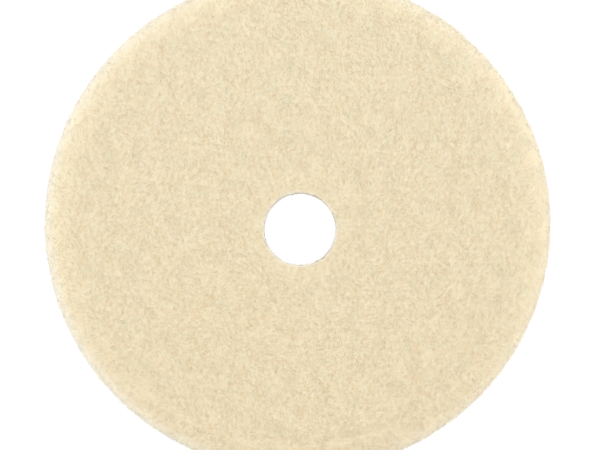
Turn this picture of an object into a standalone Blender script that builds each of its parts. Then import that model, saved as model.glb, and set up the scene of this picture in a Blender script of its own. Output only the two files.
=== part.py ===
"""Lambswool polishing pad for a hook-and-loop backing plate.

Run it with blender --background --python part.py, or from Blender's text editor.

Metres, +Z up. The pad lies on its loop face: its axis is Z, the origin is the middle
of that face, and the wool points up. It is a bonded stack of rings around one punched
hole. From the bottom: the brushed loops, the knit that holds them, a hot-melt film, the
foam, a second film, the tanned lambskin and the shorn wool that grows from it.
"""

import math

import bpy

MM = 0.001

# Driving dimensions
PAD_DIAMETER = 150 * MM  # over the wool
PAD_THICKNESS = 25 * MM
PLATE_SIDE_DIAMETER = 130 * MM  # the loop fabric, which overhangs a 125 mm plate a little
HOLE_DIAMETER = 22 * MM
LAYER_GAP = 0.3 * MM  # left between neighbours, so that each stays a solid of its own

# Thickness of every layer but the foam, which takes what they leave
NAP_THICKNESS = 1.3 * MM
KNIT_THICKNESS = 0.7 * MM
FILM_THICKNESS = 0.3 * MM
HIDE_THICKNESS = 1.1 * MM
PILE_LENGTH = 11 * MM
FOAM_THICKNESS = (
    PAD_THICKNESS
    - NAP_THICKNESS
    - KNIT_THICKNESS
    - 2 * FILM_THICKNESS
    - HIDE_THICKNESS
    - PILE_LENGTH
    - 6 * LAYER_GAP
)

# Radii
PAD_RADIUS = PAD_DIAMETER / 2
HOLE_RADIUS = HOLE_DIAMETER / 2
LOOP_RADIUS = PLATE_SIDE_DIAMETER / 2
HIDE_RADIUS = PAD_RADIUS - 5 * MM  # the wool splays past the edge of its skin
FOAM_TOP_RADIUS = HIDE_RADIUS - 0.5 * MM
FOAM_FOOT_RADIUS = LOOP_RADIUS + 0.5 * MM
FOAM_EDGE_ROUND = 0.9 * MM
FABRIC_EDGE_ROUND = 0.3 * MM

# The wool's outline in section, measured from the top of the skin
WOOL_CLEARANCE = 0.4 * MM  # how far its skirt stands off the skin's edge
WOOL_EDGE_ROUND = 12 * MM  # where the face rolls over to the outer edge
WOOL_LIP_WIDTH = 2.2 * MM  # where it rolls over into the hole
WOOL_LIP_DROP = 3 * MM
WOOL_SKIRT_DROP = 4.5 * MM  # how far the edge wool hangs below the top of the skin
WOOL_SKIRT_WIDTH = PAD_RADIUS - HIDE_RADIUS - WOOL_CLEARANCE

TURN_STEPS = 64


def make_material(name, colour, roughness):
    """A plain Principled finish. None of the pad is metal."""
    material = bpy.data.materials.new(name)
    material.use_nodes = True
    shader = material.node_tree.nodes["Principled BSDF"]
    shader.inputs["Base Color"].default_value = (*colour, 1)
    shader.inputs["Roughness"].default_value = roughness
    shader.inputs["Metallic"].default_value = 0
    return material


def arc(centre, half_width, half_height, start, end, steps):
    """Points on an ellipse from start to end degrees, both ends included."""
    angles = [math.radians(start + (end - start) * k / steps) for k in range(steps + 1)]
    return [
        (centre[0] + half_width * math.cos(a), centre[1] + half_height * math.sin(a))
        for a in angles
    ]


def ring_section(top_radius, foot_radius, thickness, edge_round):
    """A layer's section as (radius, height), clockwise from its foot in the hole."""
    top, foot = thickness - edge_round, edge_round
    return [
        (HOLE_RADIUS, 0),
        (HOLE_RADIUS, thickness),
        *arc((top_radius - edge_round, top), edge_round, edge_round, 90, 0, 2),
        *arc((foot_radius - edge_round, foot), edge_round, edge_round, 0, -90, 2),
    ]


def film_section(radius):
    """A glue film's section, square at its edges."""
    foot, top = 0, FILM_THICKNESS
    return [(HOLE_RADIUS, foot), (HOLE_RADIUS, top), (radius, top), (radius, foot)]


def wool_section():
    """The wool's section, clockwise from the foot of its wall in the hole.

    It stands on the skin, rolls over into the hole and over the outer edge, and hangs
    down as a skirt outside the skin and the top of the foam.
    """
    skirt_inside = HIDE_RADIUS + WOOL_CLEARANCE
    widest = PILE_LENGTH - WOOL_EDGE_ROUND
    lip = (HOLE_RADIUS + WOOL_LIP_WIDTH, PILE_LENGTH - WOOL_LIP_DROP)
    edge = (PAD_RADIUS - WOOL_EDGE_ROUND, widest)
    skirt = (PAD_RADIUS - WOOL_SKIRT_WIDTH, widest)
    skirt_height = widest + WOOL_SKIRT_DROP
    return [
        (HOLE_RADIUS, 0),
        *arc(lip, WOOL_LIP_WIDTH, WOOL_LIP_DROP, 180, 90, 6),
        *arc(edge, WOOL_EDGE_ROUND, WOOL_EDGE_ROUND, 90, 0, 7),
        *arc(skirt, WOOL_SKIRT_WIDTH, skirt_height, -20, -90, 4),
        (skirt_inside, 0),
    ]


def turned(name, section, height, material, pad):
    """Turns a closed section of (radius, height) points about Z, standing at height."""
    mesh = bpy.data.meshes.new(name)
    ring = range(len(section))
    edges = [(k, (k + 1) % len(section)) for k in ring]
    mesh.from_pydata([(radius, 0, level) for radius, level in section], edges, [])
    mesh.materials.append(material)
    piece = bpy.data.objects.new(name, mesh)
    piece.location.z = height
    piece.parent = pad
    screw = piece.modifiers.new("Turn", "SCREW")
    screw.angle = math.tau
    screw.steps = TURN_STEPS
    screw.render_steps = TURN_STEPS
    screw.use_merge_vertices = False
    screw.use_smooth_shade = True
    pad.users_collection[0].objects.link(piece)
    return piece


def new_pad():
    """An empty at the middle of the loop face, in a collection named for the object."""
    collection = bpy.data.collections.new("polishing_pad")
    bpy.context.scene.collection.children.link(collection)
    pad = bpy.data.objects.new("polishing_pad", None)
    pad.empty_display_size = HOLE_RADIUS
    collection.objects.link(pad)
    return pad


def make_layers(pad):
    """The seven layers, stacked from the loop face up."""
    wool = make_material("lambswool", (0.83, 0.72, 0.49), 0.95)
    skin = make_material("tanned lambskin", (0.72, 0.60, 0.42), 0.75)
    glue = make_material("hot-melt film", (0.84, 0.80, 0.68), 0.45)
    foam = make_material("polyurethane foam", (0.86, 0.84, 0.78), 0.9)
    loop = make_material("brushed loop fabric", (0.82, 0.81, 0.78), 0.9)

    loop_ring = (LOOP_RADIUS, LOOP_RADIUS)
    nap = ring_section(*loop_ring, NAP_THICKNESS, FABRIC_EDGE_ROUND)
    knit = ring_section(*loop_ring, KNIT_THICKNESS, FABRIC_EDGE_ROUND)
    cushion = ring_section(FOAM_TOP_RADIUS, FOAM_FOOT_RADIUS, FOAM_THICKNESS, FOAM_EDGE_ROUND)
    hide = ring_section(HIDE_RADIUS, HIDE_RADIUS, HIDE_THICKNESS, FABRIC_EDGE_ROUND)
    stack = [
        ("loop_nap", nap, NAP_THICKNESS, loop),
        ("loop_ground_knit", knit, KNIT_THICKNESS, loop),
        ("loop_glue_film", film_section(LOOP_RADIUS), FILM_THICKNESS, glue),
        ("foam_interface", cushion, FOAM_THICKNESS, foam),
        ("hide_glue_film", film_section(FOAM_TOP_RADIUS), FILM_THICKNESS, glue),
        ("lambskin_hide", hide, HIDE_THICKNESS, skin),
        ("wool_pile", wool_section(), PILE_LENGTH, wool),
    ]
    height = 0
    for name, section, thickness, material in stack:
        turned(name, section, height, material, pad)
        height += thickness + LAYER_GAP


def build():
    for leftover in list(bpy.data.objects):
        bpy.data.objects.remove(leftover)
    make_layers(new_pad())


build()
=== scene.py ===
"""The finished look of a lambswool polishing pad, built round its CAD model.

Metres, +Z up. The loop face lies at z = 0, the hole's axis is Z, and the wool points up.
Each section below makes one layer of the pad, from the wool down.
"""

import math

import bpy
import numpy as np
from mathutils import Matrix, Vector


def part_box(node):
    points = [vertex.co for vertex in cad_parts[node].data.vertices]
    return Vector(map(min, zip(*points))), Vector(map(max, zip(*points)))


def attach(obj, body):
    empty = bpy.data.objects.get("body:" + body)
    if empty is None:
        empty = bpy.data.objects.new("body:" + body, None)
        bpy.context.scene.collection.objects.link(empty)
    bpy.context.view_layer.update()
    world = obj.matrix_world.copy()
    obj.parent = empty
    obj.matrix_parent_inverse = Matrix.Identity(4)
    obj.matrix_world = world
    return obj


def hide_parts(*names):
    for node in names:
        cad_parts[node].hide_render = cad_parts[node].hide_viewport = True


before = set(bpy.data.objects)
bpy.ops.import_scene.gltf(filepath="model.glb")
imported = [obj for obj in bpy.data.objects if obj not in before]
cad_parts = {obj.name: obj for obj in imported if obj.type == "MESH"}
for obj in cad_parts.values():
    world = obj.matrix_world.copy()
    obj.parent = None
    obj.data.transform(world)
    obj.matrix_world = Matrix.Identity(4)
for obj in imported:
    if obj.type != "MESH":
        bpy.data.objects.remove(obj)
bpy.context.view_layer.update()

MM = 0.001

# ---------------------------------------------------------------------------------------
# The underwool
# The fleece of a tanned lambskin, sheared level and trimmed round. Under its tips the
# fibres stand so close that they read as one soft body, painted warmer than the tips as shade.
# ---------------------------------------------------------------------------------------

wool_low, wool_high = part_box("wool_pile")
hide_low, hide_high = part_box("lambskin_hide")
PAD_RADIUS = wool_high.x
FACE_HEIGHT = wool_high.z
SKIN_HEIGHT = hide_high.z + 0.05 * MM
HOLE_RADIUS = 11 * MM  # punched through every layer
HIDE_RADIUS = hide_high.x
LIP_RADIUS = HOLE_RADIUS - 0.5 * MM  # the wool overhangs its skin a little in the hole
LIP = (0.9 * MM, 1.1 * MM)  # half axes of the ellipse that its face rolls over into the hole
EDGE_ROUND = 12 * MM  # radius of the roll at the outer edge
SKIRT_FOOT = wool_low.z
SKIRT_INSIDE = HIDE_RADIUS + 0.4 * MM  # the skirt hangs clear of the skin's edge
TRIM_SHIFT = (-0.7 * MM, 1.8 * MM)  # the wool's outline is trimmed a little off the hole's axis
TRIM_OVAL = 0.6 * MM  # and this much wider along X and narrower along Y


def arc(centre, width, height, start, end, count):
    """Points centre + (width cos a, height sin a) for count angles a from start to end degrees."""
    a = np.radians(np.linspace(start, end, count))
    return np.stack([centre[0] + width * np.cos(a), centre[1] + height * np.sin(a)], axis=1)


def distances(line):
    """How far along a line each of its points lies: the sum of the steps up to it."""
    return np.concatenate([[0], np.cumsum(np.linalg.norm(np.diff(line, axis=0), axis=1))])


def even(line, spacing):
    """The same line of (radius, height) with points spacing apart along it."""
    run = distances(line)
    at = np.linspace(0, run[-1], max(2, round(run[-1] / spacing)) + 1)
    return np.stack([np.interp(at, run, line[:, k]) for k in (0, 1)], axis=1)


def fleece_outline():
    """The wool's section, as the tips leave it: up and in along the hole's wall, over the last
    30 degrees of an ellipse of size LIP, across the face, round a quarter circle, and down a
    quarter ellipse to the foot of the skirt."""
    brim = 120  # degrees, where the wall meets the ellipse
    lip_centre = (LIP_RADIUS - LIP[0] * math.cos(math.radians(brim)), FACE_HEIGHT - LIP[1])
    edge_centre = (PAD_RADIUS - EDGE_ROUND, FACE_HEIGHT - EDGE_ROUND)
    skirt_centre = (SKIRT_INSIDE, edge_centre[1])
    skirt_width = PAD_RADIUS - SKIRT_INSIDE
    return np.concatenate(
        [
            [(HOLE_RADIUS - 0.05 * MM, SKIN_HEIGHT)],
            arc(lip_centre, *LIP, brim, 90, 30),
            arc(edge_centre, EDGE_ROUND, EDGE_ROUND, 90, 0, 60),
            arc(skirt_centre, skirt_width, edge_centre[1] - SKIRT_FOOT, -2, -90, 40),
        ]
    )


def outward(line):
    """Unit normals of a line of (radius, height): its direction turned a quarter turn left."""
    along = np.gradient(line, axis=0)
    along /= np.linalg.norm(along, axis=1, keepdims=True)
    return np.stack([-along[:, 1], along[:, 0]], axis=1)


def ripple(places, wavelength, seed):
    """Smooth noise of about unit spread at places (..., 3): a sum of 14 sines whose directions
    are random and whose wavelengths lie within a third of the given one."""
    waves = 14
    rng = np.random.default_rng(seed)
    heading = rng.normal(size=(waves, 3))
    heading /= np.linalg.norm(heading, axis=1, keepdims=True)
    pitch = wavelength * rng.uniform(0.67, 1.33, (waves, 1))
    phase = rng.uniform(0, math.tau, waves)
    return np.sin(places @ (math.tau * heading / pitch).T + phase).sum(axis=-1) * math.sqrt(2 / waves)


def ramp(value, start, end):
    """0 below start, 1 above end, and 3t^2 - 2t^3 between them."""
    t = np.clip((value - start) / (end - start), 0, 1)
    return t * t * (3 - 2 * t)


def axis_distance(places):
    """Distances of places (..., 3) from the hole's axis: the length of (x, y)."""
    return np.linalg.norm(places[..., :2], axis=-1)


def trimmed(places):
    """The places moved sideways by TRIM_SHIFT, and stretched by TRIM_OVAL, times a ramp that
    is 0 up to 20 mm from the axis and 1 at the edge."""
    reach = ramp(axis_distance(places), 20 * MM, PAD_RADIUS)
    moved = places.copy()
    moved[..., 0] += (TRIM_SHIFT[0] + TRIM_OVAL * places[..., 0] / PAD_RADIUS) * reach
    moved[..., 1] += (TRIM_SHIFT[1] - TRIM_OVAL * places[..., 1] / PAD_RADIUS) * reach
    return moved


def turned(section, steps):
    """A closed section of (radius, height) carried round Z: point (i, j) is section point j at
    angle 2 pi i / steps. Returns a (steps, len(section), 3) grid."""
    angle = (np.arange(steps) * math.tau / steps)[:, None]
    radius = section[None, :, 0]
    height = np.broadcast_to(section[None, :, 1], (steps, len(section)))
    return np.stack([radius * np.cos(angle), radius * np.sin(angle), height], axis=-1)


def ring_faces(steps, around):
    """Quads of a grid that closes on itself both ways."""
    i, j = np.meshgrid(np.arange(steps), np.arange(around), indexing="ij")
    on, up = (i + 1) % steps, (j + 1) % around
    quads = [i * around + j, on * around + j, on * around + up, i * around + up]
    return np.stack(quads, axis=-1).reshape(-1, 4)


def surface_normals(grid):
    """Unit normals of a grid that closes both ways, from its neighbours' differences."""
    along = np.roll(grid, -1, axis=0) - np.roll(grid, 1, axis=0)
    across = np.roll(grid, -1, axis=1) - np.roll(grid, 1, axis=1)
    normal = np.cross(along, across)
    return normal / np.linalg.norm(normal, axis=-1, keepdims=True)


def new_piece(name, points, faces, material, slot, normals=None, **values):
    """A smooth mesh piece at the origin that rides on the pad. Its shading follows the normals
    given for its points, if any. Each extra keyword is an attribute with one number per point,
    for the finish to read."""
    mesh = bpy.data.meshes.new(name)
    mesh.from_pydata(points.reshape(-1, 3), [], faces)
    for key, numbers in values.items():
        made = mesh.attributes.new(key, "FLOAT", "POINT")
        made.data.foreach_set("value", numbers.astype(np.float32).ravel())
    mesh.shade_smooth()
    if normals is not None:
        mesh.normals_split_custom_set_from_vertices(normals.reshape(-1, 3))
    mesh.materials.append(material)
    piece = bpy.data.objects.new(name, mesh)
    bpy.context.scene.collection.objects.link(piece)
    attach(piece, "root")
    return piece


class Value:
    """A socket that carries a number or a colour. An expression on numbers adds Math nodes."""

    def __init__(self, finish, socket):
        self.finish, self.socket = finish, socket

    def math(self, operation, *inputs):
        return self.finish.node("ShaderNodeMath", {"operation": operation}, dict(enumerate(inputs)))

    def __add__(self, other):
        return self.math("ADD", self, other)

    def __sub__(self, other):
        return self.math("SUBTRACT", self, other)

    def __rsub__(self, other):
        return self.math("SUBTRACT", other, self)

    def __mul__(self, other):
        return self.math("MULTIPLY", self, other)

    __radd__, __rmul__ = __add__, __mul__

    def between(self, low, high):
        """0 at low, 1 at high, and clipped to that range."""
        sockets = {"Value": self, "From Min": low, "From Max": high}
        return self.finish.node("ShaderNodeMapRange", {"clamp": True}, sockets)


class Finish:
    """A Principled material that is built by calls. Its constants go on the shader itself."""

    def __init__(self, name, **constants):
        self.material = bpy.data.materials.new(name)
        self.material.use_nodes = True
        self.tree = self.material.node_tree
        self.shader = self.tree.nodes["Principled BSDF"]
        for socket, number in constants.items():
            self.shader.inputs[socket.replace("_", " ").title()].default_value = number

    def put(self, socket, value):
        """Links a Value to a socket, or sets the socket to a number or a colour."""
        if isinstance(value, Value):
            self.tree.links.new(value.socket, socket)
        elif hasattr(value, "__len__") and len(value) == 3 and socket.type == "RGBA":
            socket.default_value = (*value, 1)
        else:
            socket.default_value = value

    def node(self, kind, settings=None, sockets=None, output=0):
        """Adds a node, sets its settings, then its sockets, and returns one of its outputs."""
        made = self.tree.nodes.new(kind)
        for key, setting in (settings or {}).items():
            setattr(made, key, setting)
        for key, value in (sockets or {}).items():
            self.put(made.inputs[key], value)
        return Value(self, made.outputs[output])

    def attribute(self, name):
        return self.node("ShaderNodeAttribute", {"attribute_name": name}, output="Fac")

    def place(self):
        return self.node("ShaderNodeTexCoord", output="Object")

    def noise(self, scale, detail=2.0):
        sockets = {"Vector": self.place(), "Scale": scale, "Detail": detail}
        return self.node("ShaderNodeTexNoise", {}, sockets)

    def mix(self, factor, first, second):
        """The first colour where factor is 0 and the second where it is 1."""
        settings = {"data_type": "RGBA", "clamp_factor": True}
        return self.node("ShaderNodeMix", settings, {0: factor, 6: first, 7: second}, output=2)

    def bump(self, height, distance):
        return self.node("ShaderNodeBump", {}, {"Height": height, "Distance": distance, "Strength": 1})

    def set(self, **sockets):
        """Puts values on the shader's own sockets, such as base_color."""
        for socket, value in sockets.items():
            self.put(self.shader.inputs[socket.replace("_", " ").title()], value)
        return self.material


UNDERWOOL_DEPTH = 0.12 * MM  # below the tips
WOOL_WARM = (0.80, 0.63, 0.375)
WOOL_PALE = (0.91, 0.828, 0.61)
WOOL_FURROW_SHADE = (0.68, 0.52, 0.30)  # painted shade deep in the furrows and partings
WOOL_HIGHLIGHT = (0.895, 0.835, 0.69)  # painted highlight where light catches the fibres' sides at the edges
UNDERWOOL_STEPS = 620  # round the pad
UNDERWOOL_SPACING = 0.62 * MM  # along the section
WALL_SPACING = 1 * MM  # the same on the hole's wall
BRIM_SPACING = 0.16 * MM  # and round the brim above it


def pressed(places):
    """1 where the pad has been pressed and its tufts have parted, left of the hole and
    below it, and 0 elsewhere."""
    away = np.hypot(places[..., 0] + 22 * MM, (places[..., 1] + 26 * MM) * 1.3)
    return 1 - ramp(away, 8 * MM, 30 * MM)


def swell(places):
    """How far the sheared surface stands out of true: ripples of 2 mm and 7 mm, less 0.06 mm in
    the furrows and 0.7 mm in the partings of the side."""
    level = 0.012 * ripple(places, 2 * MM, seed=11) + 0.006 * ripple(places, 7 * MM, seed=12)
    return MM * (level - 0.06 * furrows(places) - 0.7 * partings(places))


def furrows(places):
    """The furrows between the tufts where the pad has been pressed, from 0 to 1: the crests of a
    ripple of 1.8 mm that is drawn out along X."""
    return ramp(ripple(places * (0.6, 1, 1), 1.8 * MM, seed=16), 0.6, 1.9) * pressed(places)


def partings(places):
    """The partings between the tufts that hang over the outer edge: 0 on a tuft and 1 along
    the lines where a ripple of 5.5 mm, drawn out downwards, is zero. None on the face."""
    drawn = places * (1, 1, 0.3)
    line = 1 - ramp(np.abs(ripple(drawn, 5.5 * MM, seed=17)), 0, 0.5)
    return line * (1 - ramp(places[..., 2], FACE_HEIGHT - 13 * MM, FACE_HEIGHT - 7 * MM))


def fallen(places):
    """The places moved up or down the side, mostly by less than 1 mm, in ripples of 4 mm and
    11 mm: nothing moves above the widest line, and most at the foot of the skirt."""
    low = 1 - ramp(places[..., 2], SKIRT_FOOT, FACE_HEIGHT - EDGE_ROUND)
    outer = ramp(axis_distance(places), HIDE_RADIUS, HIDE_RADIUS + 2 * MM)
    level = places * (1, 1, 0)
    moved = places.copy()
    uneven = 0.35 * ripple(level, 4 * MM, seed=18) + 0.3 * ripple(level, 11 * MM, seed=19)
    moved[..., 2] -= MM * uneven * low * outer
    return moved


def mottle_and_painted_slope(places):
    """The wool's tone, 0 warm and 1 pale: soft specks of 1 mm and 1.7 mm, fainter at the hole
    and the rim, slow drifts of 6 mm, and painted light: a slope that makes it paler towards +Y."""
    specks = 1.1 * ripple(places, 1.05 * MM, seed=14) + 0.5 * ripple(places, 1.7 * MM, seed=15)
    calm = ramp(np.abs(axis_distance(places) - 40 * MM), 24 * MM, 30 * MM)
    # Paler towards +Y: painted light, as if more light falls from that side.
    painted_light_slope = 0.10 * places[..., 1] / PAD_RADIUS
    drift = 0.04 * ripple(places, 6 * MM, seed=20)
    return np.clip(0.645 + painted_light_slope + drift + 0.165 * (1 - 0.7 * calm) * specks, 0, 1)


def painted_furrow_shade(places):
    """How much painted shade darkens the wool, 0 to 1: in the furrows and in the partings."""
    return np.clip(0.6 * furrows(places) + 0.45 * partings(places), 0, 1)


def painted_highlight(places):
    """How much painted highlight pales the fleece, where light catches the fibres' sides: 0 on
    the face, 1 at the outer edge on the left, a quarter of that on the right, a fifth of it all
    below the widest line, and 0.9 at the brim of the hole."""
    radius = axis_distance(places)
    widest = FACE_HEIGHT - EDGE_ROUND
    rim = ramp(radius, PAD_RADIUS - 6 * MM, PAD_RADIUS)
    rim *= 0.2 + 0.8 * ramp(places[..., 2], widest, widest + 4 * MM)
    # Stronger on the left than on the right: painted light from the left.
    rim *= 0.62 - 0.38 * places[..., 0] / PAD_RADIUS
    # Paler round the brim of the hole: painted highlight.
    brim = 1 - ramp(radius, LIP_RADIUS, LIP_RADIUS + 1.2 * MM)
    return rim + 0.9 * brim


def underwool_section():
    """The closed section of the underwool: the outline sunk by UNDERWOOL_DEPTH, with closer
    points round the brim of the hole, and a plain back along the skin."""
    outline = even(fleece_outline(), 0.05 * MM)
    sunk = outline - UNDERWOOL_DEPTH * outward(outline)
    back = np.array([(SKIRT_INSIDE, SKIRT_FOOT + 1.5 * MM), (SKIRT_INSIDE, SKIN_HEIGHT)])
    near_brim = (sunk[:, 1] > FACE_HEIGHT - 2 * MM) & (sunk[:, 0] < LIP_RADIUS + 2 * MM)
    first, last = np.flatnonzero(near_brim)[[0, -1]]
    wall = even(sunk[:first], WALL_SPACING)
    brim = even(sunk[first:last], BRIM_SPACING)
    rest = even(sunk[last:], UNDERWOOL_SPACING)
    return np.concatenate([wall, brim, rest, back])


def make_underwool():
    """The section turned about Z, pushed out along its normals by swell, and trimmed."""
    finish = Finish("underwool", roughness=0.95)
    fine = finish.noise(2200, detail=2.0)
    # Warmer than the locks' tips: painted shade deep in the fleece.
    tone_and_light = finish.attribute("tone_and_light") * 0.8 + fine * 0.3 - 0.1
    colour = finish.mix(tone_and_light, WOOL_WARM, WOOL_PALE)
    colour = finish.mix(finish.attribute("highlight"), colour, WOOL_HIGHLIGHT)
    colour = finish.mix(finish.attribute("furrow_shade"), colour, WOOL_FURROW_SHADE)
    finish.set(base_color=colour, normal=finish.bump(fine, 0.1 * MM))
    grid = turned(underwool_section(), UNDERWOOL_STEPS)
    values = {"tone_and_light": mottle_and_painted_slope(grid), "highlight": painted_highlight(grid), "furrow_shade": painted_furrow_shade(grid)}
    grid = trimmed(fallen(grid + surface_normals(grid) * swell(grid)[..., None]))
    faces = ring_faces(*grid.shape[:2])
    piece = new_piece("underwool", grid, faces, finish.material, "lambswool", **values)
    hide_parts("wool_pile")


make_underwool()

# ---------------------------------------------------------------------------------------
# The wool locks
# Sheared wool stands in small locks, a few dozen crimped fibres each, that lean over one
# another. They lie round the hole and hang over the outer edge, and they part into tufts
# where the pad has been pressed.
# ---------------------------------------------------------------------------------------

LOCKS = 112000
LOCK_PIECES = 7
LOCK_POINTS, LOCK_FACES = 7, 10
LOCK_LENGTH = 1.35 * MM
LOCK_GIRTH = 0.23 * MM  # half its width
LOCK_CRIMP = 0.10 * MM  # how far it waves sideways
LOCK_SINK = 0.18 * MM  # of a lock's spine below the tips, so that it lies half in the underwool
LOCK_ROUNDNESS = 0.12  # share of a lock's own roundness in its shading, the rest is the fleece's
SIDE_ROUNDNESS = 0.7  # the same where the locks hang free, on the side
GOLDEN_ANGLE = math.pi * (3 - math.sqrt(5))


def spread_roots(count):
    """Places of the locks, evenly spread over the fleece: lock k is where the area counted
    from the hole reaches (k + 1/2) / count, turned k golden angles, then jittered. Returns
    the outline, how far along it its points lie, and each lock's distance along it and angle."""
    outline = even(fleece_outline(), 0.1 * MM)
    run = distances(outline)
    area = np.concatenate([[0], np.cumsum(np.diff(run) * (outline[1:, 0] + outline[:-1, 0]) / 2)])
    rng = np.random.default_rng(21)
    share = (np.arange(count) + 0.5) / count
    distance = np.interp(share * area[-1], area, run)
    gap = math.sqrt(math.tau * area[-1] / count)
    distance += rng.uniform(-0.45, 0.45, count) * gap
    radius = np.interp(distance, run, outline[:, 0])
    angle = np.arange(count) * GOLDEN_ANGLE + rng.uniform(-0.45, 0.45, count) * gap / radius
    return outline, run, np.clip(distance, 0, run[-1]), angle


def on_fleece(outline, run, at, angle):
    """The places at distance at along the outline, turned to angle, with the unit normals there
    and the unit directions along the fleece and away from the hole."""
    radius, height = (np.interp(at, run, outline[:, k]) for k in (0, 1))
    facing = outward(outline)
    out_r, out_z = (np.interp(at, run, facing[:, k]) for k in (0, 1))
    size = np.hypot(out_r, out_z)
    out_r, out_z = out_r / size, out_z / size
    cos_a, sin_a = np.cos(angle), np.sin(angle)
    places = np.stack([radius * cos_a, radius * sin_a, height], axis=1)
    normal = np.stack([out_r * cos_a, out_r * sin_a, out_z], axis=1)
    downhill = np.stack([out_z * cos_a, out_z * sin_a, -out_r], axis=1)
    return places, normal, downhill


def flat_on(normal, heading):
    """The headings without their part along the normals."""
    return heading - (heading * normal).sum(axis=1, keepdims=True) * normal


def lean_field(places, rng):
    """The heading, in radians from +X, that the locks on the face lean to: along Y on most of
    the face and along X where it has been pressed, turned by slow ripples of 16 mm and 7 mm,
    and for each lock by chance."""
    turn = 0.4 * ripple(places, 16 * MM, seed=31) + 0.25 * ripple(places, 7 * MM, seed=32)
    return math.pi / 2 * (1 + pressed(places)) + turn + rng.normal(0, 0.5, len(places))


def lock_leans(tips, normal, downhill, lip, rim, rng):
    """The unit directions along the fleece that the locks lean to: lean_field on the face,
    downhill turned by a slow swirl at the rim, and nearly round the hole at its lip."""
    heading = lean_field(tips, rng)
    free = flat_on(normal, np.stack([np.cos(heading), np.sin(heading), np.zeros(len(tips))], axis=1))
    combed = np.maximum(lip, rim)
    at_lip = lip > rim
    swirl = 0.35 * ripple(tips, 8 * MM, seed=33) + 0.15 * rng.normal(size=len(tips)) + 1.4 * at_lip
    along = np.where(at_lip, -1.0, 1.0)[:, None] * downhill
    across = np.cross(normal, downhill)
    combing = along * np.cos(swirl)[:, None] + across * np.sin(swirl)[:, None]
    lean = flat_on(normal, free * (1 - combed)[:, None] + combing * (0.15 + 1.2 * combed)[:, None])
    return lean / np.linalg.norm(lean, axis=1, keepdims=True)


def lock_mesh(root, normal, lean, length, girth, start, end, crimp, roundness, rng):
    """Closed locks, all at once. A lock's spine leaves its root at angle start from the normal
    and bends evenly towards lean until it lies at angle end:
    root + length * integral of (cos p * normal + sin p * lean), p from start to end,
    with crimp * sin sideways. Two rings of 3 points round the spine narrow to one tip.
    Returns the points, the faces, how far up its lock each point is, and its shading normal,
    which is roundness parts the lock's own and the rest the fleece's."""
    sides, rises = 3, np.array([0, 0.6])
    count = len(root)
    t = np.append(rises, 1)[None, :, None]
    start, end, length = (x[:, None, None] for x in (start, end, length))
    bend = end - start
    here = start + bend * t
    up = (np.sin(here) - np.sin(start)) / bend
    over = (np.cos(start) - np.cos(here)) / bend
    side = np.cross(normal, lean)
    phase = rng.uniform(0, math.tau, (count, 1, 1))
    sway = crimp[:, None, None] * np.sin(phase + 5.5 * t)
    spine = (
        root[:, None, :]
        + length * (up * normal[:, None, :] + over * lean[:, None, :])
        + sway * side[:, None, :]
    )
    tangent = np.cos(here) * normal[:, None, :] + np.sin(here) * lean[:, None, :]
    crown = np.cross(tangent, side[:, None, :])
    around = rng.uniform(0, math.tau, (count, 1, 1)) + math.tau * np.arange(sides) / sides
    width = girth[:, None, None] * np.array([1.0, 0.85])[None, :, None]
    ring = (
        spine[:, :2, None, :]
        + (width * np.cos(around))[..., None] * side[:, None, None, :]
        + (width * np.sin(around))[..., None] * crown[:, :2, None, :]
    )
    points = np.concatenate([ring.reshape(count, 6, 3), spine[:, 2:, :]], axis=1)
    from_spine = (ring - spine[:, :2, None, :]).reshape(count, 6, 3)
    own = np.concatenate([from_spine, tangent[:, 2:, :]], axis=1)
    own /= np.linalg.norm(own, axis=2, keepdims=True)
    roundness = roundness[:, None, None]
    facing = own * roundness + normal[:, None, :] * (1 - roundness)
    facing /= np.linalg.norm(facing, axis=2, keepdims=True)
    walls = [(s, (s + 1) % 3, 3 + (s + 1) % 3, 3 + s) for s in range(3)]
    split = [(a, b, c) for a, b, c, d in walls] + [(a, c, d) for a, b, c, d in walls]
    one = np.array(split + [(3, 4, 6), (4, 5, 6), (5, 3, 6), (2, 1, 0)])
    faces = (one[None] + LOCK_POINTS * np.arange(count)[:, None, None]).reshape(-1, 3)
    rise = np.broadcast_to(np.append(np.repeat(rises, 3), 1), (count, LOCK_POINTS))
    return points, faces, rise, facing


def lock_finish():
    """Wool painted warmer towards the roots and pale at the tips, as painted shade deep in the pile, with
    a faint, uneven tint.
    """
    finish = Finish("lambswool", roughness=0.9, sheen_weight=0.2, sheen_roughness=0.5)
    # rise makes the locks warmer towards their roots: painted shade deep in the pile.
    tips = finish.attribute("tone_and_light") * 0.85 + finish.attribute("rise") * 0.15
    colour = finish.mix(tips, WOOL_WARM, WOOL_PALE)
    colour = finish.mix(finish.attribute("highlight"), colour, WOOL_HIGHLIGHT)
    colour = finish.mix(finish.attribute("furrow_shade"), colour, WOOL_FURROW_SHADE)
    grease = finish.noise(420, detail=3.0).between(0.37, 0.63)
    tint = finish.mix(grease, (1.0, 0.952, 0.945), (0.965, 1.0, 0.995))
    settings = {"data_type": "RGBA", "blend_type": "MULTIPLY"}
    colour = finish.node("ShaderNodeMix", settings, {0: 1.0, 6: colour, 7: tint}, output=2)
    return finish.set(base_color=colour)


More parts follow.
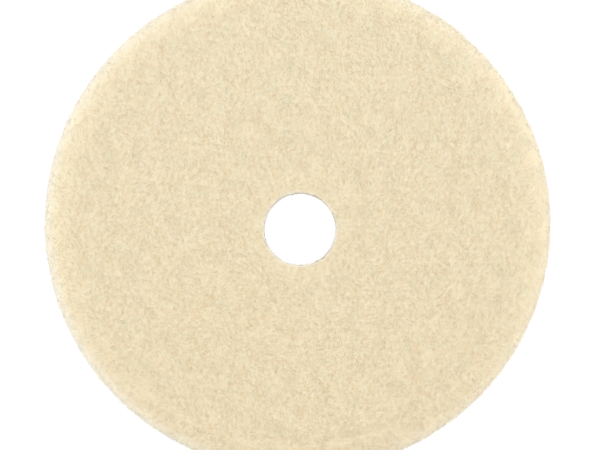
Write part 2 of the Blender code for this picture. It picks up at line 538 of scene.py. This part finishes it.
def make_locks():
    """A lock at each place, rooted so that its tip ends where the shears cut it:
    root = tip + normal * (stand - rise of the spine). The locks lie flatter at the lip of the
    hole and at the rim, and are longer, rounder and more uneven on the side."""
    outline, run, distance, angle = spread_roots(LOCKS)
    tips, normal, downhill = on_fleece(outline, run, distance, angle)
    radius = axis_distance(tips)
    lip = 1 - ramp(radius, HOLE_RADIUS + 2.5 * MM, HOLE_RADIUS + 6 * MM)
    rim = ramp(radius, PAD_RADIUS - 12 * MM, PAD_RADIUS - 5 * MM)
    side = rim * (1 - ramp(tips[:, 2], FACE_HEIGHT - 13 * MM, FACE_HEIGHT - 7 * MM))
    combed = np.maximum(lip, rim)

    rng = np.random.default_rng(22)
    count = len(tips)
    length = (LOCK_LENGTH + 0.2 * MM * rng.normal(size=count)) * (1 + 0.15 * rim - 0.45 * lip + 0.7 * side)
    lean = lock_leans(tips, normal, downhill, lip, rim, rng)
    start = np.radians(60 + 6 * combed + 4 * rng.normal(size=count))
    end = np.radians(99 + 2 * combed + 3 * rng.normal(size=count))
    girth = LOCK_GIRTH + 0.03 * MM * rng.normal(size=count)
    girth = girth.clip(0.12 * MM, 0.35 * MM) * (1 + 0.2 * side)
    rise_of_tip = length * (np.sin(end) - np.sin(start)) / (end - start)
    uneven = MM * rng.normal(size=count) * (0.025 * (1 - 0.8 * combed) + 0.1 * side)
    stand = swell(tips) + uneven - LOCK_SINK * (1 + 0.25 * combed)
    root = tips + normal * (stand - rise_of_tip)[:, None]
    crimp = LOCK_CRIMP * (1 - 0.5 * combed + 1.5 * side)
    roundness = LOCK_ROUNDNESS * (1 - 0.9 * combed) * (1 - side) + SIDE_ROUNDNESS * side
    locks = lock_mesh(root, normal, lean, length, girth, start, end, crimp, roundness, rng)
    points, faces, rise, facing = locks
    tone_and_light = mottle_and_painted_slope(tips) + rng.normal(0, 0.06, count) * (1 - 0.8 * combed + 3.3 * side)
    whole = {"tone_and_light": np.clip(tone_and_light, 0, 1), "highlight": painted_highlight(tips), "furrow_shade": painted_furrow_shade(tips)}
    points = trimmed(fallen(points))

    wool = lock_finish()
    part = -(-count // LOCK_PIECES)
    for k in range(LOCK_PIECES):
        mine = slice(k * part, min(count, (k + 1) * part))
        own, own_faces = points[mine], faces[: len(points[mine]) * LOCK_FACES]
        values = {key: np.repeat(numbers[mine], LOCK_POINTS) for key, numbers in whole.items()}
        values["rise"] = rise[mine]
        new_piece(f"wool_locks_{k + 1}", own, own_faces, wool, "lambswool", facing[mine], **values)


make_locks()

# ---------------------------------------------------------------------------------------
# The stray fibres
# Single fibres that the shears missed stand out of the fleece, most of them round the
# outer edge, and make its outline soft.
# ---------------------------------------------------------------------------------------

STRAY_FIBRES = 24000


def make_stray_fibres():
    """Thin cones of 4 points each: a triangle round the root and one tip, at root + length
    times a direction between the fleece's normal and a chance heading."""
    rng = np.random.default_rng(41)
    outline = even(fleece_outline(), 0.1 * MM)
    run = np.linspace(0, 1, len(outline))
    edge = run[np.searchsorted(outline[:, 0], PAD_RADIUS - 2 * MM)]
    anywhere = rng.random(STRAY_FIBRES) < 0.12
    at = np.where(anywhere, rng.random(STRAY_FIBRES), rng.uniform(edge, 0.99, STRAY_FIBRES))
    angle = rng.uniform(0, math.tau, STRAY_FIBRES)
    place, normal, _ = on_fleece(outline, run, at, angle)
    heading = 1.1 * normal + 0.75 * rng.normal(size=(STRAY_FIBRES, 3))
    heading += np.maximum(0.25 - (heading * normal).sum(axis=1), 0)[:, None] * normal
    heading /= np.linalg.norm(heading, axis=1, keepdims=True)
    side = np.cross(heading, rng.normal(size=(STRAY_FIBRES, 3)))
    side /= np.linalg.norm(side, axis=1, keepdims=True)
    other = np.cross(heading, side)
    thick = rng.uniform(0.03, 0.045, (STRAY_FIBRES, 1)) * MM
    long = rng.uniform(0.9, 1.7, (STRAY_FIBRES, 1)) * MM
    root = place - normal * 0.4 * MM
    turns = (0, math.tau / 3, 2 * math.tau / 3)
    corners = [root + thick * (side * math.cos(a) + other * math.sin(a)) for a in turns]
    points = np.stack([*corners, root + long * heading], axis=1)
    one = np.array([(0, 1, 3), (1, 2, 3), (2, 0, 3), (2, 1, 0)])
    faces = (one[None] + 4 * np.arange(STRAY_FIBRES)[:, None, None]).reshape(-1, 3)
    finish = Finish("stray fibres", roughness=0.8)
    # Their colour runs from the rim's painted highlight to a paler cream: painted highlight too.
    finish.set(base_color=finish.mix(finish.noise(900), WOOL_HIGHLIGHT, (0.92, 0.89, 0.80)))
    new_piece("wool_stray_fibres", trimmed(fallen(points)), faces, finish.material, "lambswool")


make_stray_fibres()

# ---------------------------------------------------------------------------------------
# The lambskin
# The tanned skin that the wool grows from, about a millimetre thick. Its flesh side is
# buffed to a suede and glued down, and its die-cut edge shows in the hole and under the
# skirt of wool.
# ---------------------------------------------------------------------------------------

HIDE_FOOT = hide_low.z - 0.15 * MM  # half way down the CAD's gap, which the glue fills
CUT_RADIUS = HOLE_RADIUS + 0.1 * MM  # of the hole through the lambskin and the layers under it
LAMBSKIN_STEPS = 720  # round the pad


def layer_section(low, high, top_radius, foot_radius, edge_round, spacing, middle=4):
    """A ring's closed section, anticlockwise from its foot in the hole: up the hole's wall,
    over the top, down the outer edge between two roundings, and back along the foot. Only the
    two edges are closely spaced."""
    height = high - low
    wall = np.linspace(low, high, max(4, round(height / spacing)) + 1)
    inner = np.stack([np.full(len(wall), CUT_RADIUS), wall], axis=1)
    across_top = np.linspace(CUT_RADIUS, top_radius, middle + 2)[1:-1]
    across_foot = np.linspace(foot_radius, CUT_RADIUS, middle + 2)[1:-1]
    top = np.stack([across_top, np.full(middle, high)], axis=1)
    crown = arc((top_radius - edge_round, high - edge_round), edge_round, edge_round, 90, 10, 12)
    heel = arc((foot_radius - edge_round, low + edge_round), edge_round, edge_round, -10, -90, 12)
    outer = even(np.concatenate([crown, heel]), spacing)
    foot = np.stack([across_foot, np.full(middle, low)], axis=1)
    return np.concatenate([inner, top, outer, foot])


def pushed_sideways(grid, distance):
    """The grid's points moved away from the axis by distance: x and y grow in proportion."""
    away = grid * (1, 1, 0) / axis_distance(grid)[..., None]
    return grid + away * distance[..., None]


def make_lambskin():
    """The turned section. Its two cut edges wander by ripples of 1.2 mm and 5 mm."""
    finish = Finish("suede", roughness=0.85, sheen_weight=0.3, sheen_roughness=0.6)
    nap = finish.noise(3500, detail=3.0)
    blotch = finish.noise(260, detail=2.0)
    colour = finish.mix(nap * 0.6 + blotch * 0.5, (0.70, 0.57, 0.38), (0.88, 0.79, 0.62))
    finish.set(base_color=colour, normal=finish.bump(nap, 0.06 * MM))
    section = layer_section(HIDE_FOOT, SKIN_HEIGHT, HIDE_RADIUS, HIDE_RADIUS, 0.3 * MM, 0.12 * MM)
    grid = turned(section, LAMBSKIN_STEPS)
    loose = 0.04 * MM * ripple(grid, 1.2 * MM, seed=51) + 0.05 * MM * ripple(grid, 5 * MM, seed=52)
    edge = ramp(np.abs(axis_distance(grid) - 40 * MM), 28 * MM, 29 * MM)
    grid = pushed_sideways(grid, loose * edge)
    piece = new_piece("lambskin", grid, ring_faces(*grid.shape[:2]), finish.material, "tanned_lambskin")
    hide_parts("lambskin_hide")


make_lambskin()

# ---------------------------------------------------------------------------------------
# The glue between lambskin and foam
# A web of hot-melt adhesive, pressed until it is a thin film. It creeps out a little at
# the cut edges and sets there as a low, shiny bead.
# ---------------------------------------------------------------------------------------

foam_low, foam_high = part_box("foam_interface")
HIDE_FILM_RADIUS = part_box("hide_glue_film")[1].x
GLUE_SINK = 0.02 * MM  # of the film into the layers it joins
GLUE_STEPS = 900  # round the pad
GLUE_AMBER = (0.80, 0.70, 0.48)
GLUE_CLEAR = (0.90, 0.86, 0.74)


def glue_film(name, node, low, high, radius, seed):
    """A thin ring from height low to high. Its two edges bulge by half an ellipse, whose depth
    swings with ripples of 2 mm and 6 mm: edge radius + depth * sqrt(1 - h^2), h from -1 to 1."""
    h = np.linspace(-1, 1, 9)
    bulge = np.sqrt(1 - h**2)
    level = (low + high) / 2 + h * (high - low) / 2
    inner = np.stack([np.full(len(h), CUT_RADIUS), level], axis=1)
    outer = np.stack([np.full(len(h), radius), level[::-1]], axis=1)
    top = np.array([(radius * 0.4, high), (radius * 0.7, high)])
    foot = np.array([(radius * 0.7, low), (radius * 0.4, low)])
    grid = turned(np.concatenate([inner, top, outer, foot]), GLUE_STEPS)
    lobe = np.concatenate([-bulge, [0, 0], bulge[::-1], [0, 0]])
    swing = 1 + 0.5 * ripple(grid, 2 * MM, seed=seed) + 0.4 * ripple(grid, 6 * MM, seed=seed + 1)
    grid = pushed_sideways(grid, 0.07 * MM * lobe * np.clip(swing, 0, 2.2))
    finish = Finish(name.replace("_", " "), roughness=0.35, coat_weight=0.2)
    cloudy = finish.noise(500, detail=2.0)
    finish.set(base_color=finish.mix(cloudy.between(0.3, 0.7), GLUE_AMBER, GLUE_CLEAR))
    piece = new_piece(name, grid, ring_faces(*grid.shape[:2]), finish.material, "hot_melt_film")
    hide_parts(node)


hide_film = (foam_high.z - GLUE_SINK, HIDE_FOOT + GLUE_SINK, HIDE_FILM_RADIUS)
glue_film("glue_under_lambskin", "hide_glue_film", *hide_film, seed=61)

# ---------------------------------------------------------------------------------------
# The foam
# Open-cell polyurethane foam, cut to a ring that tapers from the lambskin to the loop
# fabric. The knife opens its cells, so that the outer edge and the hole's wall are a net of
# thin struts round small pits.
# ---------------------------------------------------------------------------------------

nap_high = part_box("loop_nap")[1]
KNIT_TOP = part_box("loop_ground_knit")[1].z
LOOP_FILM_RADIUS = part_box("loop_glue_film")[1].x
FOAM_FOOT_RADIUS = nap_high.x + 0.5 * MM
FOAM_ROUND = 0.9 * MM  # of its edges
FOAM_CELL = 0.85 * MM
PIT_DEPTH = 0.32 * MM
FOAM_STEPS = 1320  # round the pad


def cell_edges(places, size, seed):
    """0 on the border between two cells and rising into them: the difference between the
    distances, in cell sizes, to the nearest and the next nearest of points that stand by chance
    one in every cube of a grid."""
    rng = np.random.default_rng(seed)
    flat = places.reshape(-1, 3) / size
    cube = np.floor(flat).astype(int)
    low = cube.min(axis=0) - 1
    span = cube.max(axis=0) - low + 2
    seeds = rng.random((*span, 3)).astype(np.float32)
    near = np.full((2, len(flat)), 9.0)
    for dx, dy, dz in np.ndindex(3, 3, 3):
        there = cube + (dx - 1, dy - 1, dz - 1)
        index = there - low
        away = np.linalg.norm(there + seeds[index[:, 0], index[:, 1], index[:, 2]] - flat, axis=1)
        near = np.sort(np.concatenate([near, away[None]]), axis=0)[:2]
    return (near[1] - near[0]).reshape(places.shape[:-1])


def foam_finish():
    """Cream struts with pits between them painted darker as shade, and pores too fine to model."""
    finish = Finish("polyurethane foam", roughness=0.9)
    sockets = {"Vector": finish.place(), "Scale": 2600.0}
    pore = finish.node("ShaderNodeTexVoronoi", {"feature": "F1"}, sockets)
    fine = finish.noise(1500, detail=3.0)
    # The pits are painted darker than the struts: painted shade in the hollows of the cells.
    shade = 1.15 - (finish.attribute("pit") * 0.75 + fine * 0.35 + pore * 0.25)
    colour = finish.mix(shade, (0.27, 0.25, 0.19), (0.78, 0.75, 0.65))
    return finish.set(base_color=colour, normal=finish.bump(fine * 0.5 + pore * 0.5, 0.12 * MM))


def make_foam():
    """The turned section. Both cut walls sink into the foam by PIT_DEPTH in the middle of each
    cell, and by ripples of 6 mm."""
    radii = (foam_high.x, FOAM_FOOT_RADIUS)
    section = layer_section(foam_low.z, foam_high.z, *radii, FOAM_ROUND, 0.3 * MM, middle=3)
    grid = turned(section, FOAM_STEPS)
    radius = axis_distance(grid)
    on_hole = radius < CUT_RADIUS + 0.01 * MM
    cut = (on_hole | (radius > FOAM_FOOT_RADIUS - 1.5 * MM)).astype(float)
    pit = ramp(cell_edges(grid, FOAM_CELL, seed=71), 0.02, 0.55) * cut
    low_spots = 0.05 * MM * ripple(grid, 6 * MM, seed=72) * cut
    inward = np.where(on_hole, 1.0, -1.0)
    grid = pushed_sideways(grid, inward * (PIT_DEPTH * pit + low_spots))
    faces = ring_faces(*grid.shape[:2])
    piece = new_piece("foam", grid, faces, foam_finish(), "polyurethane_foam", pit=pit)
    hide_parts("foam_interface")


make_foam()
loop_film = (KNIT_TOP - GLUE_SINK, foam_low.z + GLUE_SINK, LOOP_FILM_RADIUS)
glue_film("glue_under_foam", "loop_glue_film", *loop_film, seed=65)

# ---------------------------------------------------------------------------------------
# The ground knit
# A warp-knitted polyester tricot that carries the loops. Its wales run along Y, and its cut
# edge frays a little.
# ---------------------------------------------------------------------------------------

LOOP_RADIUS = nap_high.x
KNIT_FOOT = nap_high.z - 0.3 * MM  # so that the loops stand in it
KNIT_STEPS = 1000  # round the pad
WALE = 0.8 * MM  # from one column of stitches to the next, along X
COURSE = 0.6 * MM  # from one row to the next, along Y


def knit_finish():
    """Waves across the wales and the courses, under a little fuzz. A wave texture repeats after
    tau / (20 * scale)."""
    finish = Finish("tricot", roughness=0.8, sheen_weight=0.3, sheen_roughness=0.4)

    def waves(direction, pitch):
        sockets = {"Vector": finish.place(), "Scale": math.tau / (20 * pitch)}
        return finish.node("ShaderNodeTexWave", {"bands_direction": direction}, sockets)

    fuzz = finish.noise(3000, detail=2.0)
    relief = waves("X", WALE) * 0.45 + waves("Y", COURSE) * 0.3 + fuzz * 0.25
    colour = finish.mix(relief, (0.42, 0.41, 0.37), (0.80, 0.79, 0.74))
    return finish.set(base_color=colour, normal=finish.bump(relief, 0.15 * MM))


def make_knit():
    """The turned section. Its two cut edges fray by ripples of 0.8 mm and 4 mm."""
    section = layer_section(KNIT_FOOT, KNIT_TOP, LOOP_RADIUS, LOOP_RADIUS, 0.25 * MM, 0.12 * MM)
    grid = turned(section, KNIT_STEPS)
    edge = ramp(np.abs(axis_distance(grid) - 38 * MM), 26 * MM, 27 * MM)
    fray = 0.05 * MM * ripple(grid, 0.8 * MM, seed=81) + 0.06 * MM * ripple(grid, 4 * MM, seed=82)
    grid = pushed_sideways(grid, fray * edge)
    piece = new_piece("ground_knit", grid, ring_faces(*grid.shape[:2]), knit_finish(), "loop_fabric")
    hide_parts("loop_ground_knit")


make_knit()

# ---------------------------------------------------------------------------------------
# The loops
# Fine polyester filament, brushed out of the knit into loops that lie every way. The hooks
# of the backing plate catch in them.
# ---------------------------------------------------------------------------------------

LOOPS = 7600
FILAMENT_RADIUS = 0.055 * MM


def loop_paths(count, rng):
    """Centre lines of the loops, 5 points each: half an ellipse of width w and height h that
    stands on the knit, leans over sideways, and is spread over the ring by golden angles."""
    share = (np.arange(count) + 0.5) / count
    inside, outside = HOLE_RADIUS + 0.5 * MM, LOOP_RADIUS - 0.5 * MM
    radius = np.sqrt(inside**2 + share * (outside**2 - inside**2))
    angle = np.arange(count) * GOLDEN_ANGLE
    centre = np.stack([radius * np.cos(angle), radius * np.sin(angle)], axis=1)
    centre += rng.normal(0, 0.25 * MM, (count, 2))
    heading = rng.uniform(0, math.tau, count)[:, None]
    wide = rng.uniform(0.5, 0.9, (count, 1)) * MM
    high = rng.uniform(0.85, 1.05, (count, 1)) * MM
    lean = rng.normal(0, 0.35, (count, 1)) * MM
    t = np.linspace(0, math.pi, 5)[None, :]
    along, drop = wide * np.cos(t), np.sin(t)
    x = centre[:, :1] + along * np.cos(heading) - lean * drop * np.sin(heading)
    y = centre[:, 1:] + along * np.sin(heading) + lean * drop * np.cos(heading)
    z = KNIT_FOOT + 0.05 * MM - high * drop
    return np.stack([x, y, np.maximum(z, 0.06 * MM)], axis=-1)


def tubes(paths, thick):
    """Closed tubes of 3 sides round each path (n, k, 3): at each point the corners stand thick
    away, on a frame of the path's direction and the plane it bends in."""
    count, steps = paths.shape[:2]
    ahead = np.gradient(paths, axis=1)
    ahead /= np.linalg.norm(ahead, axis=2, keepdims=True)
    chord = paths[:, -1:] - paths[:, :1]
    across = np.cross(chord, np.array([0, 0, 1.0]))
    across /= np.linalg.norm(across, axis=2, keepdims=True)
    across = across - (across * ahead).sum(axis=2, keepdims=True) * ahead
    across /= np.linalg.norm(across, axis=2, keepdims=True)
    over = np.cross(ahead, across)
    turns = math.tau * np.arange(3) / 3
    points = (
        paths[:, :, None, :]
        + thick * np.cos(turns)[None, None, :, None] * across[:, :, None, :]
        + thick * np.sin(turns)[None, None, :, None] * over[:, :, None, :]
    )
    k, s = np.meshgrid(np.arange(steps - 1), np.arange(3), indexing="ij")
    a, b = 3 * k + s, 3 * k + (s + 1) % 3
    walls = np.stack([a, b, b + 3, a + 3], axis=-1).reshape(-1, 4)
    last = 3 * (steps - 1)
    ends = np.array([(2, 1, 0), (last, last + 1, last + 2)])
    one = np.concatenate([walls[:, [0, 1, 2]], walls[:, [0, 2, 3]], ends])
    faces = (one[None] + 3 * steps * np.arange(count)[:, None, None]).reshape(-1, 3)
    return points.reshape(-1, 3), faces


def make_loops():
    """A tube round each loop's path, all in one piece."""
    finish = Finish("brushed filament", roughness=0.45, sheen_weight=0.2)
    streak = finish.noise(1200, detail=1.0)
    finish.set(base_color=finish.mix(streak, (0.56, 0.55, 0.51), (0.84, 0.83, 0.78)))
    rng = np.random.default_rng(91)
    points, faces = tubes(loop_paths(LOOPS, rng), FILAMENT_RADIUS)
    loops = new_piece("loop_nap_loops", points, faces, finish.material, "loop_fabric")
    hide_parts("loop_nap")


make_loops()

# ---------------------------------------------------------------------------------------
# Studio
# The pad lies on a sweep of white paper under an even white sky. Three strips of light stand
# low round it and shape its rim, and the camera looks down the hole.
# ---------------------------------------------------------------------------------------

scene = bpy.context.scene
scene.view_settings.view_transform = "Standard"
FLOOR_FLAT = 1.5  # metres, as are all the studio's sizes
FLOOR_RISE = 0.5
WALL_HEIGHT = 1.3
FLOOR_STEPS = 96


def make_floor():
    """A white paper sweep: flat to FLOOR_FLAT, then up a quarter circle of radius FLOOR_RISE to
    a wall, all turned about Z, so that it has no edge."""
    bend = arc((FLOOR_FLAT, FLOOR_RISE), FLOOR_RISE, FLOOR_RISE, -90, 0, 13)
    line = np.concatenate([[(0.001, 0), (0.3, 0)], bend, [(FLOOR_FLAT + FLOOR_RISE, WALL_HEIGHT)]])
    grid = turned(line, FLOOR_STEPS)
    steps, around = grid.shape[:2]
    faces = ring_faces(steps, around).reshape(steps, around, 4)[:, :-1].reshape(-1, 4)
    middle = np.arange(steps)[::-1] * around
    mesh = bpy.data.meshes.new("floor")
    mesh.from_pydata(grid.reshape(-1, 3), [], [*faces[:, ::-1].tolist(), middle[::-1].tolist()])
    mesh.shade_smooth()
    floor = bpy.data.objects.new("floor", mesh)
    scene.collection.objects.link(floor)
    paper = Finish("white paper", roughness=0.8)
    paper.set(base_color=(0.1, 0.1, 0.1), emission_color=(1, 1, 1), emission_strength=0.97)
    mesh.materials.append(paper.material)


make_floor()

world = bpy.data.worlds.new("studio")
world.use_nodes = True
world.node_tree.nodes["Background"].inputs["Color"].default_value = (1, 1, 1, 1)
world.node_tree.nodes["Background"].inputs["Strength"].default_value = 0.94
scene.world = world


def lamp(name, place, power):
    """A strip of light 1.2 m wide and 0.3 m high at place, aimed at the pad."""
    light = bpy.data.lights.new(name, "AREA")
    light.shape = "RECTANGLE"
    light.size = 1.2
    light.size_y = 0.3
    light.energy = power
    made = bpy.data.objects.new(name, light)
    made.location = place
    direction = -made.location
    made.rotation_euler = direction.to_track_quat("-Z", "Y").to_euler()
    scene.collection.objects.link(made)


lamp("lamp_back", (0, 0.9, 0.2), 1.2)
lamp("lamp_left", (-0.9, 0.1, 0.2), 1.9)
lamp("lamp_right", (0.9, 0.1, 0.2), 1.6)

camera = bpy.data.cameras.new("camera")
camera.lens = 85
camera.clip_start = 0.01
eye = bpy.data.objects.new("camera", camera)
TILT = math.radians(0.3)
DISTANCE = 0.4215
AIM = (0, 1.3 * MM, 17 * MM)
eye.location = (AIM[0], AIM[1] - DISTANCE * math.sin(TILT), AIM[2] + DISTANCE * math.cos(TILT))
eye.rotation_euler = (TILT, 0, 0)
scene.collection.objects.link(eye)
scene.camera = eye
